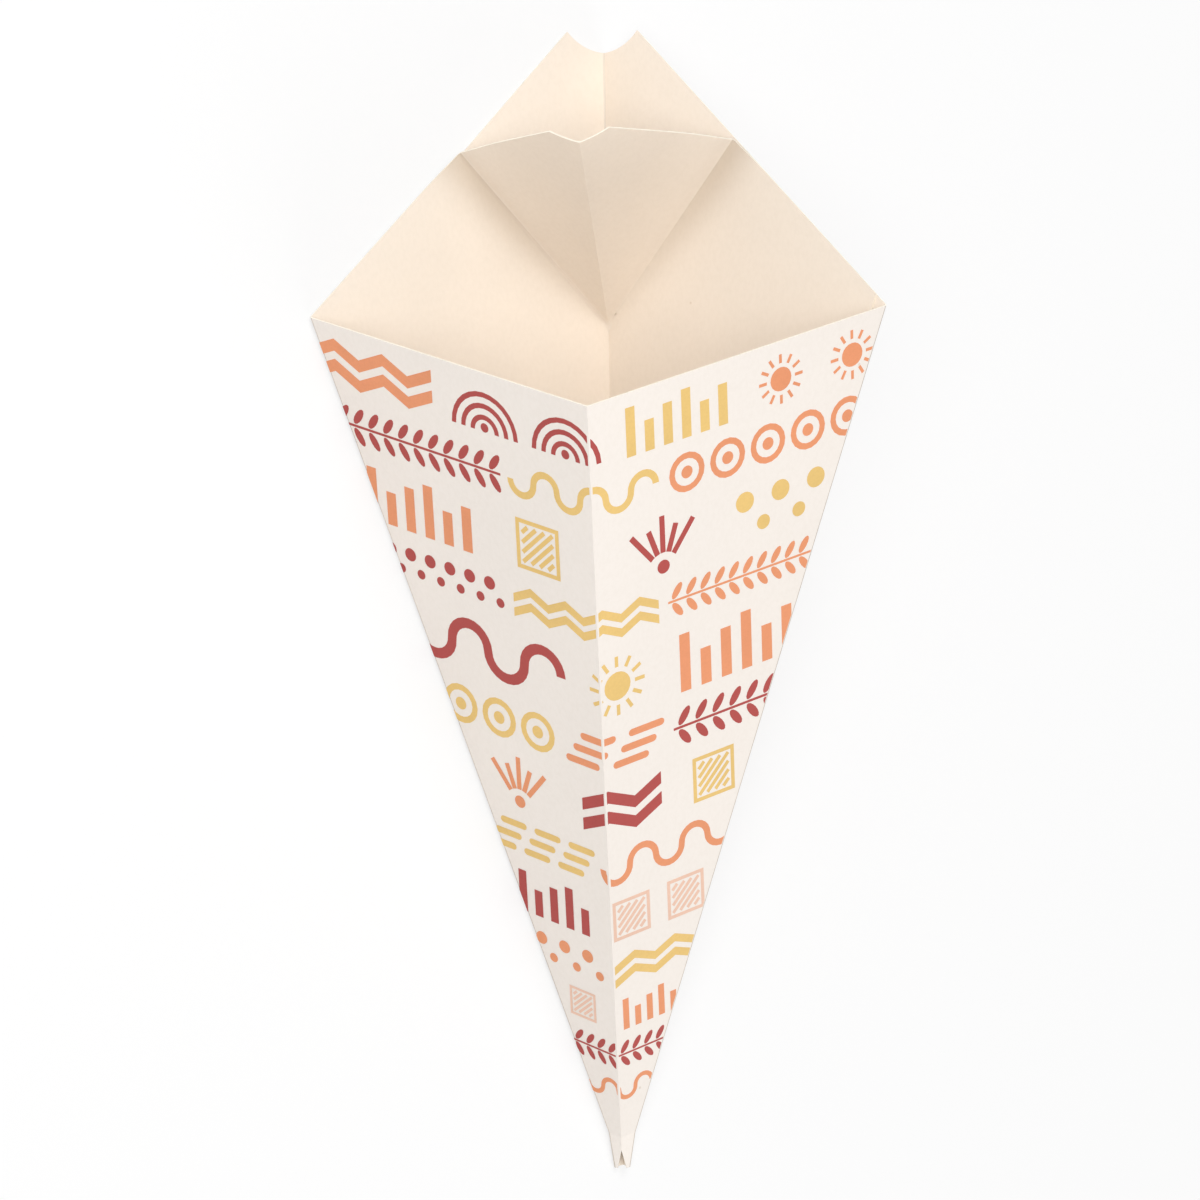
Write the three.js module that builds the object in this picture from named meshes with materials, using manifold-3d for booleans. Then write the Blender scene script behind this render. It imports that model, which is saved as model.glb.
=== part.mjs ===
// Paper cone bag for chips, folded and glued from one die-cut sheet of card.
// Four panels meet along a front fold, a back fold and two side folds. The back is two layers
// glued face to face. Both rise above the rim to a peak with a thumb notch. The top of the
// inner layer is creased along a V and pushed forward, which opens a sauce pocket behind it.
// The bag lies on the left half of its back, with its tip towards -Y and its mouth towards +Y.
import * as THREE from "three";
import { mergeVertices } from "three/addons/utils/BufferGeometryUtils.js";
import Module from "manifold-3d";

const wasm = await Module();
wasm.setup();

// Driving sizes of the flat sheet, in millimetres and degrees
const card = 0.4; // thickness of the card
const sideFold = 224; // a side fold, from the point where the folds would meet to the rim
const panelAngle = 22.2; // angle of each of the four panels at that point
const outerRise = 70.5; // height of the outer layer's peak above the rim
const outerNotchWidth = 21.5; // thumb notch in that peak, corner to corner
const outerNotchDepth = 4.6; // and down to the bottom of its arc
const innerRise = 61.6; // height of the inner layer's peak above the rim
const innerNotchWidth = 15.4;
const innerNotchDepth = 1.2;
const pocketLeftReach = 58.8; // from the rim corner up the slanted edge to the left crease
const pocketRightReach = 61.5; // the same on the right, where the bag is creased a little higher
const pocketBase = 206.8; // from the meeting point of the folds to the point of the V
const seamGap = 3.7; // inner layer's free edge stops this far short of the right fold
const lapGap = 3; // outer layer's free edge stops this far short of the left fold
const glueSink = 0.05; // how far the two glued layers are pressed together

// Driving sizes of the folded bag
const openLean = 13.9; // lean of the front and back folds away from the axis
const pocketEase = 12.8; // the pushed-out ridge springs back by this angle
const ridgeSway = 6.3; // and leans this far to the left
const tipCut = 2.2; // height of the cut tip above the point where the folds would meet
const tipWidth = 3.9; // width of the cut tip, which its own layers hold open
const tipStart = 11; // height where the folds start to spread towards that tip
const tipSlitHeight = 4.8; // the front fold is split open above the cut tip
const tipSlitWidth = 2.6; // and this wide at the cut
const foldSides = 12; // faces around a rounded fold
const notchSteps = 10; // straight pieces along half of the notch's arc

const radians = THREE.MathUtils.degToRad;
const vector = (x, y, z) => new THREE.Vector3(x, y, z);
const along = (start, direction, distance) => start.clone().addScaledVector(direction, distance);

// Directions of the four folds from their meeting point, with the bag upright and facing -Y
const alpha = radians(panelAngle);
const mu = radians(openLean);
const lambda = Math.acos(Math.cos(alpha) / Math.cos(mu));
const meeting = vector(0, 0, 0);
const leftFold = vector(-Math.sin(lambda), 0, Math.cos(lambda));
const rightFold = vector(Math.sin(lambda), 0, Math.cos(lambda));
const frontFold = vector(0, -Math.sin(mu), Math.cos(mu));
const backFold = vector(0, Math.sin(mu), Math.cos(mu));

// Outward normals of the left panels, and the angle that they enclose at the left fold
const backLeftNormal = leftFold.clone().cross(backFold).normalize();
const frontLeftNormal = frontFold.clone().cross(leftFold).normalize();
const sideAngle = Math.PI - backLeftNormal.angleTo(frontLeftNormal);

// The inner layer lies inside the outer one, shifted square to the back fold
const layerStep = card - glueSink;
const backward = vector(0, Math.cos(mu), -Math.sin(mu));
const innerMeeting = along(meeting, backward, -layerStep / backward.dot(backLeftNormal));
const innerLap = layerStep / Math.sin(sideAngle);
const innerFoldShift = layerStep / Math.tan(sideAngle);

// Places on the flat sheet: x runs up a panel's middle fold and y across it to a side fold
const flat = (x, y) => new THREE.Vector2(x, y);
const rim = sideFold * Math.cos(alpha);
const rimHalf = sideFold * Math.sin(alpha);
const outerPeak = rim + outerRise;
const innerPeak = rim + innerRise;
const outerNotchBottom = outerPeak - outerNotchDepth;
const innerNotchBottom = innerPeak - innerNotchDepth;
const rimCorner = flat(rim, rimHalf);
const slantedEdge = flat(outerPeak, outerNotchWidth / 2).sub(rimCorner).normalize();
const pocketCorner = (reach) => rimCorner.clone().addScaledVector(slantedEdge, reach);

// The cut tip is the same kite as every other section, spread about the back fold
const tipSpread = tipWidth / 2 / (tipCut * Math.tan(lambda));
const tipMiddle = flat(tipCut / Math.cos(mu), 0);
const tipFold = tipCut / Math.cos(lambda);
const tipSide = flat(tipFold * Math.cos(alpha), tipFold * Math.sin(alpha))
  .sub(tipMiddle)
  .multiplyScalar(tipSpread)
  .add(tipMiddle);
const spreadFold = tipStart / Math.cos(lambda);

// A point of a panel's side edge, given how far the edge lies inside the side fold
const sidePoint = (x, inset) => flat(x, x * Math.tan(alpha) - inset / Math.cos(alpha));

// The points of half a notch's arc, from its bottom on the middle fold out to its corner
function notchArc(bottom, width, depth) {
  const radius = (width ** 2 / 4 + depth ** 2) / (2 * depth);
  const span = Math.asin(width / 2 / radius);
  const points = [];
  for (let i = 0; i <= notchSteps; i++) {
    const turn = (span * i) / notchSteps;
    points.push(flat(bottom + radius * (1 - Math.cos(turn)), radius * Math.sin(turn)));
  }
  return points;
}

// A solid from a closed geometry
function solid(geometry) {
  const bare = geometry.clone();
  bare.deleteAttribute("normal");
  bare.deleteAttribute("uv");
  const merged = mergeVertices(bare, 1e-4);
  const mesh = new wasm.Mesh({
    numProp: 3,
    vertProperties: new Float32Array(merged.attributes.position.array),
    triVerts: new Uint32Array(merged.index.array),
  });
  return new wasm.Manifold(mesh);
}

// A piece of card in the plane of a fold and of a second direction, drawn in flat coordinates
function panel(start, fold, toward, outline) {
  const x = fold.clone().normalize();
  const z = x.clone().cross(toward).normalize();
  const y = z.clone().cross(x);
  const geometry = new THREE.ExtrudeGeometry(new THREE.Shape(outline), {
    depth: card,
    bevelEnabled: false,
  });
  geometry.translate(0, 0, -card / 2);
  geometry.applyMatrix4(new THREE.Matrix4().makeBasis(x, y, z).setPosition(start));
  return solid(geometry);
}

// A piece of card through points that lie in one plane
function patch(points) {
  const [start, second] = points;
  const x = second.clone().sub(start).normalize();
  const z = x.clone().cross(points[2].clone().sub(start)).normalize();
  const y = z.clone().cross(x);
  const outline = points.map((point) => {
    const arm = point.clone().sub(start);
    return flat(arm.dot(x), arm.dot(y));
  });
  return panel(start, x, y, outline);
}

// The rounded card along a fold
function fold(start, end) {
  const run = end.clone().sub(start);
  const radius = (card / 2) * 0.98;
  const geometry = new THREE.CylinderGeometry(radius, radius, run.length(), foldSides);
  geometry.translate(0, run.length() / 2, 0);
  const turn = new THREE.Quaternion().setFromUnitVectors(vector(0, 1, 0), run.clone().normalize());
  geometry.applyMatrix4(
    new THREE.Matrix4().compose(start, turn, vector(1, 1, 1)),
  );
  return solid(geometry);
}

// Front panel from the rim down to where the tip starts to spread
function frontPanel(side, inset) {
  const bottom = spreadFold * Math.cos(alpha);
  return panel(meeting, frontFold, side, [
    flat(bottom, 0),
    flat(rim, 0),
    sidePoint(rim, inset),
    sidePoint(bottom, inset),
  ]);
}

// Outer back panel, with the slanted edge and half of the notch
function outerBack(side, inset) {
  const arc = notchArc(outerNotchBottom, outerNotchWidth, outerNotchDepth);
  const outline = [...arc, sidePoint(rim, inset)];
  if (inset > 0) outline.push(flat(inset / Math.sin(alpha), 0));
  else outline.push(sidePoint(spreadFold * Math.cos(alpha), 0), tipSide, tipMiddle);
  return panel(meeting, backFold, side, outline);
}

// Inner back panel up to the pocket's crease
function innerBack(side, inset, reach, reachesTip) {
  const outline = [flat(pocketBase, 0), pocketCorner(reach), sidePoint(rim, inset)];
  if (reachesTip) {
    outline.push(sidePoint(spreadFold * Math.cos(alpha), inset), tipSide, tipMiddle);
  } else outline.push(flat(inset / Math.sin(alpha), 0));
  return panel(innerMeeting, backFold, side, outline);
}

// A point of the inner back panel on one side, in space
function innerPoint(side, point) {
  const across = side.clone().addScaledVector(backFold, -side.dot(backFold)).normalize();
  return along(along(innerMeeting, backFold, point.x), across, point.y);
}

// The pushed-out flap: the inner layer's top, mirrored in the plane of its two creases
const pocketPoint = innerPoint(leftFold, flat(pocketBase, 0));
const pocketLeft = innerPoint(leftFold, pocketCorner(pocketLeftReach));
const pocketRight = innerPoint(rightFold, pocketCorner(pocketRightReach));
const creasePlane = new THREE.Plane().setFromCoplanarPoints(pocketPoint, pocketLeft, pocketRight);
const ridge = backFold
  .clone()
  .reflect(creasePlane.normal)
  .applyAxisAngle(vector(1, 0, 0), -radians(pocketEase))
  .applyAxisAngle(vector(0, 1, 0), -radians(ridgeSway));
const ridgeTop = along(pocketPoint, ridge, innerNotchBottom - pocketBase);

function flapPanel(corner) {
  const arm = corner.clone().sub(pocketPoint);
  const height = arm.dot(ridge);
  const reach = Math.sqrt(arm.lengthSq() - height ** 2);
  const arc = notchArc(innerNotchBottom - pocketBase, innerNotchWidth, innerNotchDepth);
  return panel(pocketPoint, ridge, arm, [flat(0, 0), ...arc, flat(height, reach)]);
}

// The front of the tip: two walls that spread from the folds, split along the front fold
function tipFront(side) {
  const spread = (direction, height) => along(meeting, direction, height / direction.z);
  const backEnd = spread(backFold, tipCut);
  const spreadOut = (direction) =>
    spread(direction, tipCut).sub(backEnd).multiplyScalar(tipSpread).add(backEnd);
  const overlap = tipStart + card;
  return patch([
    spreadOut(side),
    spreadOut(frontFold),
    along(spread(frontFold, tipStart), frontFold, overlap - tipStart),
    along(spread(side, tipStart), side, overlap - tipStart),
  ]);
}

function tipSlit() {
  const depth = tipStart;
  const outline = new THREE.Shape([
    flat(-tipSlitWidth / 2, tipCut - card),
    flat(tipSlitWidth / 2, tipCut - card),
    flat(0, tipCut + tipSlitHeight),
  ]);
  const geometry = new THREE.ExtrudeGeometry(outline, { depth, bevelEnabled: false });
  geometry.rotateX(Math.PI / 2);
  return solid(geometry);
}

function coneBag() {
  const leftShift = along(meeting, leftFold, spreadFold);
  const rimLeft = along(meeting, leftFold, sideFold);
  const rimRight = along(meeting, rightFold, sideFold);
  const foldStart = (direction) => along(meeting, direction, tipStart / direction.z);
  const foldShift = innerPoint(leftFold, sidePoint(rim, innerFoldShift)).sub(rimLeft);
  const front = [
    frontPanel(leftFold, innerLap),
    frontPanel(rightFold, 0),
    fold(foldStart(frontFold), along(meeting, frontFold, rim)),
    tipFront(leftFold),
    tipFront(rightFold),
  ];
  const pieces = [
    ...front,
    outerBack(leftFold, lapGap),
    outerBack(rightFold, 0),
    innerBack(leftFold, innerFoldShift, pocketLeftReach, true),
    innerBack(rightFold, seamGap, pocketRightReach, false),
    flapPanel(pocketLeft),
    flapPanel(pocketRight),
    fold(
      along(meeting, backFold, lapGap / Math.sin(alpha)),
      along(meeting, backFold, outerNotchBottom),
    ),
    fold(leftShift.add(foldShift), rimLeft.clone().add(foldShift)),
    fold(foldStart(rightFold), rimRight),
    fold(pocketPoint, pocketLeft),
    fold(pocketPoint, pocketRight),
    fold(pocketPoint, ridgeTop),
  ];
  return pieces.reduce((whole, piece) => whole.add(piece)).subtract(tipSlit());
}

// The mesh of a solid, for the scene
function geometryOf(made) {
  const mesh = made.getMesh();
  const geometry = new THREE.BufferGeometry();
  geometry.setAttribute("position", new THREE.BufferAttribute(mesh.vertProperties, 3));
  geometry.setIndex(new THREE.BufferAttribute(mesh.triVerts, 1));
  return geometry;
}

// Turn from the upright bag to the bag lying on the left half of its back
function lyingTurn() {
  const up = backLeftNormal.clone().negate();
  const axis = vector(0, 0, 1);
  const ahead = axis.clone().addScaledVector(up, -axis.dot(up)).normalize();
  const across = ahead.clone().cross(up);
  return new THREE.Matrix4().makeBasis(across, ahead, up).transpose();
}

const geometry = geometryOf(coneBag()).applyMatrix4(lyingTurn());
geometry.computeBoundingBox();
const box = geometry.boundingBox;
geometry.translate(-(box.min.x + box.max.x) / 2, -(box.min.y + box.max.y) / 2, -box.min.z);
geometry.computeVertexNormals();

const printedCard = new THREE.MeshStandardMaterial({
  color: 0xf3ebe2,
  roughness: 0.7,
  metalness: 0,
  flatShading: true,
});

const bag = new THREE.Mesh(geometry, printedCard);
bag.name = "cone_bag";

const group = new THREE.Group();
group.name = "paper_cone_bag";
group.add(bag);

export default group;
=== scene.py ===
"""Folded and printed paper cone bag with a sauce pocket, lying on the left half of its back."""

import math

import bmesh
import bpy
from bpy.props import FloatProperty, FloatVectorProperty, PointerProperty
from mathutils import Matrix, Quaternion, Vector


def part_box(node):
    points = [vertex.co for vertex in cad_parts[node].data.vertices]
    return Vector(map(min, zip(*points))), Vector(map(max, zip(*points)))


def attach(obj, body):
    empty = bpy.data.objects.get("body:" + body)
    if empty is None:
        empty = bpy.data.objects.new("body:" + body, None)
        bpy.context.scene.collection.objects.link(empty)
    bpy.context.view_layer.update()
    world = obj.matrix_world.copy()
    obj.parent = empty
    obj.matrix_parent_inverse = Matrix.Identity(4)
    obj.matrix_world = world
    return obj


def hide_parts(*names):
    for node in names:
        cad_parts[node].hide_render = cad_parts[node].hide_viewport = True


bl_info = {
    "name": "Paper Cone Bag",
    "version": (1, 0, 0),
    "blender": (4, 5, 0),
    "location": "3D View > Sidebar > Cone Bag",
    "description": "Builds a folded card cone with a sauce pocket, its print and its stage",
    "category": "Add Mesh",
}

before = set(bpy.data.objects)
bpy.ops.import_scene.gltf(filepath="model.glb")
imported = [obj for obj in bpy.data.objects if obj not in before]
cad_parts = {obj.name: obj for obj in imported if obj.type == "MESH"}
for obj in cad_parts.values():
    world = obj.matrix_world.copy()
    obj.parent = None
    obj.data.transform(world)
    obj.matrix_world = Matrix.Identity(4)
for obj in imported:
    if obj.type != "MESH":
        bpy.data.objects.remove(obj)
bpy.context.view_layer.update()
NODE = "cone_bag"
BODY = "root"
MM = 0.001
UP_AXIS = Vector((0.0, 0.0, 1.0))
WHITE = (1, 1, 1, 1)

# Sockets of a Mix node set to colours, whose names are shared with its other kinds
MIX_FACTOR, MIX_FIRST, MIX_SECOND, MIX_RESULT = 0, 6, 7, 2

# The card's first material slots. The thickness adds INSIDE to the slot of each face for the
# inner surface, and EDGE for the cut edge.
OUTSIDE, INSIDE, EDGE, WORN = range(4)

WIDTH_SLACK = 2 * MM  # how far the solid's box and the folded sheet may differ in width
PEAK_INSET = 0.1 * MM  # from the peak's corners to the far side of the solid's box
ON_FOLD = 1e-5  # how far off a fold a place may lie and still count as on it
FOLD_OVERRUN = 0.03  # how far past a fold's ends an edge may reach, as a share of the fold
CREASE_SEGMENTS = 5
FOLD_SEGMENTS = 3

FINE_REACH = 23 * MM  # how far from a pocket crease the card is cut finely
CUTS_ALONG = 14
CUTS_BESIDE = (1.6, 2.6, 3.8, 5.2, 6.8, 8.6, 10.6, 13, 16, 19)  # millimetres from the crease
BULGE_AT_POINT = 0.35  # reach of the bulge at the V's point, as a share of that at its corners
PAINTED_SHADE_AT_POINT = 0.25  # strength of the painted shade beside the creases at the V's point, as a share of the same
PAINTED_SHADE_SPREAD = 0.9  # reach of the painted shade, as a share of the bulge's reach
LEAST_PUSH = 0.02 * MM  # card that moves less than this stays flat shaded

INK_MARGIN = 0.55 * MM  # from the side folds, or from the lap's edge, to the ink
PEAK_MARGIN = 1.2 * MM  # from the slanted edges of the back to the ink
INK_LIFT = 0.01 * MM  # from the card to the surface that the ink is drawn on
RUBBED = 0.3 * MM  # half the bare strip along a middle fold
ROW_OVERHANG = 1.07  # width of a row against that of the panels, which cut it off
CELL_INSET = 0.14  # bare end of each motif, as a share of its row's height
LOWEST_ROW = 20 * MM  # no row starts lower than this, measured up the middle fold
FRONT_TOP = 3 * MM  # from the rim down to the first row on the front
BACK_TOP = 12 * MM  # from the peak down to the first row on the back

FLOOR_RADIUS = 4.0
FLOOR_DROP = 0.12 * MM  # room under the bag for the ink
FLOOR_GLOW = 0.62  # share of plain white in the floor as it is seen


def length(label, words, default):
    """A length, in metres"""
    return FloatProperty(
        name=label, description=words, default=default, unit="LENGTH", subtype="DISTANCE"
    )


def angle(label, words, default):
    """An angle, its default given in degrees"""
    return FloatProperty(
        name=label, description=words, default=math.radians(default), unit="ROTATION"
    )


def colour(label, words, default):
    """A colour as it looks on a screen"""
    return FloatVectorProperty(
        name=label, description=words, default=default, subtype="COLOR_GAMMA",
        size=3, min=0.0, max=1.0,
    )


def power(label, words, default):
    """The power of a lamp, in watts"""
    return FloatProperty(name=label, description=words, default=default, min=0.0, unit="POWER")


class ConeSizes(bpy.types.PropertyGroup):
    """Sizes of the flat sheet and of the folded bag"""

    card: length("Card", "Thickness of the card", 0.4 * MM)
    side_fold: length("Side fold", "From where the folds would meet to the rim", 224 * MM)
    panel_angle: angle("Panel angle", "Angle of each panel where the folds would meet", 22.2)
    open_lean: angle("Opening", "Lean of the front and back folds away from the axis", 13.9)
    outer_rise: length("Outer peak", "Outer layer's peak above the rim", 70.5 * MM)
    outer_notch_width: length("Outer notch width", "Thumb notch, corner to corner", 21.5 * MM)
    outer_notch_depth: length("Outer notch depth", "Thumb notch, down to its bottom", 4.6 * MM)
    inner_rise: length("Inner peak", "Inner layer's peak above the rim", 61.6 * MM)
    inner_notch_width: length("Inner notch width", "Thumb notch, corner to corner", 15.4 * MM)
    inner_notch_depth: length("Inner notch depth", "Thumb notch, down to its bottom", 1.2 * MM)
    pocket_left: length("Pocket left", "Rim corner to the left crease", 58.8 * MM)
    pocket_right: length("Pocket right", "Rim corner to the right crease", 61.5 * MM)
    pocket_base: length("Pocket base", "Where the folds would meet to the V's point", 206.8 * MM)
    seam_gap: length("Seam gap", "Inner layer's free edge to the right fold", 3.7 * MM)
    lap_gap: length("Lap gap", "Outer layer's free edge to the left fold", 3.0 * MM)
    layer_step: length("Layer step", "From the middle of one glued layer to the other", 0.42 * MM)
    pocket_ease: angle("Pocket ease", "Spring back of the pushed-out ridge", 12.8)
    ridge_sway: angle("Ridge sway", "Lean of the ridge to the left", 6.3)
    tip_cut: length("Tip cut", "Height of the cut tip", 2.2 * MM)
    tip_width: length("Tip width", "Width of the cut tip", 3.9 * MM)
    tip_start: length("Tip start", "Height where the folds start to spread", 11 * MM)
    slit_height: length("Slit height", "Open front fold above the cut tip", 4.8 * MM)
    slit_width: length("Slit width", "Open front fold at the cut tip", 2.6 * MM)
    ink: length("Ink", "Thickness of the ink film", 0.02 * MM)
    fold_radius: length("Fold radius", "Rounding of the folds", 0.45 * MM)
    crease_radius: length("Crease radius", "Rounding of the pocket's creases", 0.95 * MM)
    bulge: length("Bulge", "How far the card springs forward at the corners", 1.5 * MM)
    bulge_reach: length("Bulge reach", "How far the spring spreads from the creases", 8.5 * MM)


class CardColours(bpy.types.PropertyGroup):
    """Colours of the card and of its print"""

    outside: colour("Outside", "Coated outside of the card", (0.957, 0.925, 0.893))
    inside: colour("Inside", "Plain inside of the card", (0.98, 0.932, 0.874))
    edge: colour("Edge", "Cut edge of the card", (1.0, 0.972, 0.915))
    worn: colour("Worn fold", "Card where it is folded", (0.86, 0.82, 0.77))
    brick: colour("Brick ink", "Brick red ink", (0.70, 0.27, 0.25))
    orange: colour("Orange ink", "Orange ink", (0.93, 0.60, 0.42))
    yellow: colour("Yellow ink", "Yellow ink", (0.93, 0.78, 0.47))
    peach: colour("Peach ink", "Pale peach ink", (0.95, 0.79, 0.70))


class StageSettings(bpy.types.PropertyGroup):
    """Camera and studio"""

    view_height: angle("View height", "Camera above the rim of the upright bag", 14.0)
    view_turn: angle("View turn", "Turn of the upright bag about its axis", -3.28)
    view_roll: angle("View roll", "Roll of the picture", -1.75)
    distance: length("Distance", "Camera to where the folds would meet", 1120 * MM)
    aside: length("Aside", "Where the folds would meet, right of the view", 5.55 * MM)
    below: length("Below", "Where the folds would meet, below the view", 139.93 * MM)
    lens: FloatProperty(name="Lens", description="Focal length", default=137.74, unit="CAMERA")
    sky: FloatProperty(
        name="Sky", description="Level of the even white light", default=0.47,
        min=0.0, max=1.0, subtype="FACTOR",
    )
    front_power: power("Front lamp", "Lamp behind the camera", 5.4)
    tip_power: power("Tip lamp", "Lamp beyond the tip", 4.4)
    mouth_power: power("Mouth lamp", "Lamp over the mouth", 8.2)


class Cone:
    """Fold directions and places of the upright bag, whose axis is Z and whose front is at -Y"""

    def __init__(self, sizes):
        self.s = sizes
        self.panel_angle, self.open_lean = sizes.panel_angle, sizes.open_lean
        self.side_lean = math.acos(math.cos(self.panel_angle) / math.cos(self.open_lean))
        self.left = Vector((-math.sin(self.side_lean), 0, math.cos(self.side_lean)))
        self.right = Vector((math.sin(self.side_lean), 0, math.cos(self.side_lean)))
        self.front = Vector((0, -math.sin(self.open_lean), math.cos(self.open_lean)))
        self.back = Vector((0, math.sin(self.open_lean), math.cos(self.open_lean)))
        self.meeting = Vector((0, 0, 0))
        self.rim = sizes.side_fold * math.cos(self.panel_angle)
        self.rim_half = sizes.side_fold * math.sin(self.panel_angle)
        self.down = self.left.cross(self.back).normalized()
        front_left = self.front.cross(self.left).normalized()
        side_angle = math.pi - self.down.angle(front_left)
        backward = Vector((0, math.cos(self.open_lean), -math.sin(self.open_lean)))
        self.inner_meeting = -backward * (sizes.layer_step / backward.dot(self.down))
        self.inner_lap = sizes.layer_step / math.sin(side_angle)
        self.outer_peak = self.rim + sizes.outer_rise
        self.inner_peak = self.rim + sizes.inner_rise

    def point(self, start, fold, side, x, y):
        """A place of the flat sheet, x up a middle fold and y across it towards a side fold"""
        across = (side - fold * side.dot(fold)).normalized()
        return start + fold * x + across * y

    def side_point(self, x, inset):
        """Place at x up the middle fold, an inset short of the side fold"""
        return x, x * math.tan(self.panel_angle) - inset / math.cos(self.panel_angle)

    def slanted(self, reach):
        """Place on the slanted edge of the back, from the rim corner on"""
        edge = Vector((
            self.outer_peak - self.rim,
            self.s.outer_notch_width / 2 - self.rim_half,
        ))
        edge.normalize()
        return self.rim + edge.x * reach, self.rim_half + edge.y * reach

    def slanted_at(self, inset):
        """Where the slanted edge meets a line beside the side fold"""
        edge = Vector(self.slanted(1.0)) - Vector(self.slanted(0.0))
        tangent = math.tan(self.panel_angle)
        reach = inset / math.cos(self.panel_angle) / (edge.x * tangent - edge.y)
        return self.slanted(reach)

    def pocket(self):
        """Point of the V and its two corners"""
        start, fold = self.inner_meeting, self.back
        low = start + fold * self.s.pocket_base
        left = self.point(start, fold, self.left, *self.slanted(self.s.pocket_left))
        right = self.point(start, fold, self.right, *self.slanted(self.s.pocket_right))
        return low, left, right

    def lying(self):
        """Turn from the upright bag to the lying one"""
        up = -self.down
        ahead = (UP_AXIS - up * UP_AXIS.dot(up)).normalized()
        across = ahead.cross(up)
        return Matrix((across, ahead, up)).to_4x4()


def notch_arc(bottom, width, depth, steps=14):
    """Places along one half of a thumb notch, from its bottom to its corner"""
    radius = (width**2 / 4 + depth**2) / (2 * depth)
    span = math.asin(width / 2 / radius)
    return [
        (bottom + radius * (1 - math.cos(span * i / steps)), radius * math.sin(span * i / steps))
        for i in range(steps + 1)
    ]


def linear(channel):
    """Linear value of a channel of an sRGB colour"""
    return channel / 12.92 if channel <= 0.04045 else ((channel + 0.055) / 1.055) ** 2.4


def rgba(gamma_colour):
    """Linear colour of an sRGB one"""
    return (*(linear(channel) for channel in gamma_colour), 1.0)


def shade(tone, factor):
    """A linear colour made darker"""
    return (*(channel * factor for channel in tone[:3]), 1.0)


class Shader:
    """Builds one node material, with its patterns on Object coordinates"""

    def __init__(self, name):
        self.material = bpy.data.materials.new(name)
        self.material.use_nodes = True
        self.tree = self.material.node_tree
        self.bsdf = self.tree.nodes["Principled BSDF"]
        self.place = self.add("ShaderNodeTexCoord").outputs["Object"]

    def add(self, kind, **settings):
        """A new node with the given settings"""
        node = self.tree.nodes.new(kind)
        for key, value in settings.items():
            setattr(node, key, value)
        return node

    def join(self, start, end):
        """Link two sockets"""
        self.tree.links.new(start, end)

    def noise(self, scale, detail, stretch=None):
        """Noise between 0 and 1, finer along some axes where it is stretched"""
        node = self.add("ShaderNodeTexNoise")
        node.inputs["Scale"].default_value = scale
        node.inputs["Detail"].default_value = detail
        if stretch:
            mapping = self.add("ShaderNodeMapping")
            mapping.inputs["Scale"].default_value = stretch
            self.join(self.place, mapping.inputs["Vector"])
            self.join(mapping.outputs["Vector"], node.inputs["Vector"])
        else:
            self.join(self.place, node.inputs["Vector"])
        return node.outputs["Fac"]

    def ramp(self, value, first, last):
        """Colours for a value, from two stops of a place and a tone"""
        node = self.add("ShaderNodeValToRGB")
        for element, (position, tone) in zip(node.color_ramp.elements, (first, last)):
            element.position, element.color = position, tone
        self.join(value, node.inputs["Fac"])
        return node.outputs["Color"]

    def multiply(self, factor, first, second):
        """The first colour darkened by the second, as far as the factor says"""
        node = self.add("ShaderNodeMix", data_type="RGBA", blend_type="MULTIPLY")
        node.inputs[MIX_FACTOR].default_value = factor
        self.join(first, node.inputs[MIX_FIRST])
        self.join(second, node.inputs[MIX_SECOND])
        return node.outputs[MIX_RESULT]

    def bump(self, height, strength, distance):
        """Small bumps from a height"""
        node = self.add("ShaderNodeBump")
        node.inputs["Strength"].default_value = strength
        node.inputs["Distance"].default_value = distance
        self.join(height, node.inputs["Height"])
        self.join(node.outputs["Normal"], self.bsdf.inputs["Normal"])

    def finish(self, tone, roughness, gloss):
        """Give the surface its colour and its sheen"""
        self.join(tone, self.bsdf.inputs["Base Color"])
        self.bsdf.inputs["Roughness"].default_value = roughness
        self.bsdf.inputs["Specular IOR Level"].default_value = gloss
        return self.material


def card_material(name, tone, roughness, gloss, fibre, mottle, painted_shade_strength=0.0):
    """Card with soft clouds, short fibres, a few specks, and painted shade beside the creases"""
    made = Shader(name)
    cloud = made.noise(scale=26.0, detail=3.0)
    base = made.ramp(cloud, (0.35, shade(tone, 1 - mottle)), (0.65, tone))
    fibres = made.noise(scale=1100.0, detail=4.0, stretch=(1.0, 0.6, 1.0))
    fine = made.ramp(fibres, (0.35, (0.96, 0.955, 0.945, 1)), (0.6, WHITE))
    base = made.multiply(0.5, base, fine)
    speck = made.add("ShaderNodeTexVoronoi")
    speck.inputs["Scale"].default_value = 62.0
    made.join(made.place, speck.inputs["Vector"])
    dots = made.ramp(speck.outputs["Distance"], (0.012, (0.80, 0.74, 0.67, 1)), (0.03, WHITE))
    base = made.multiply(0.7, base, dots)
    # Painted shade: darker card beside the pocket's creases, read from a vertex attribute
    if painted_shade_strength:
        bend = made.add("ShaderNodeAttribute", attribute_name="bend")
        painted_darkness = made.ramp(bend.outputs["Fac"], (0.0, WHITE), (1.0, (0.74, 0.70, 0.65, 1)))
        base = made.multiply(painted_shade_strength, base, painted_darkness)
    made.bump(fibres, fibre, distance=0.08 * MM)
    return made.finish(base, roughness, gloss)


def ink_material(name, tone):
    """Flat offset ink that lets a little of the card's cloudiness through"""
    made = Shader(name)
    cloud = made.noise(scale=70.0, detail=3.0)
    base = made.ramp(cloud, (0.32, shade(tone, 0.93)), (0.68, tone))
    grain = made.noise(scale=1500.0, detail=3.0)
    fine = made.ramp(grain, (0.3, (0.93, 0.92, 0.91, 1)), (0.62, WHITE))
    base = made.multiply(0.6, base, fine)
    made.bump(grain, strength=0.08, distance=0.06 * MM)
    return made.finish(base, roughness=0.5, gloss=0.4)


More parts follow.
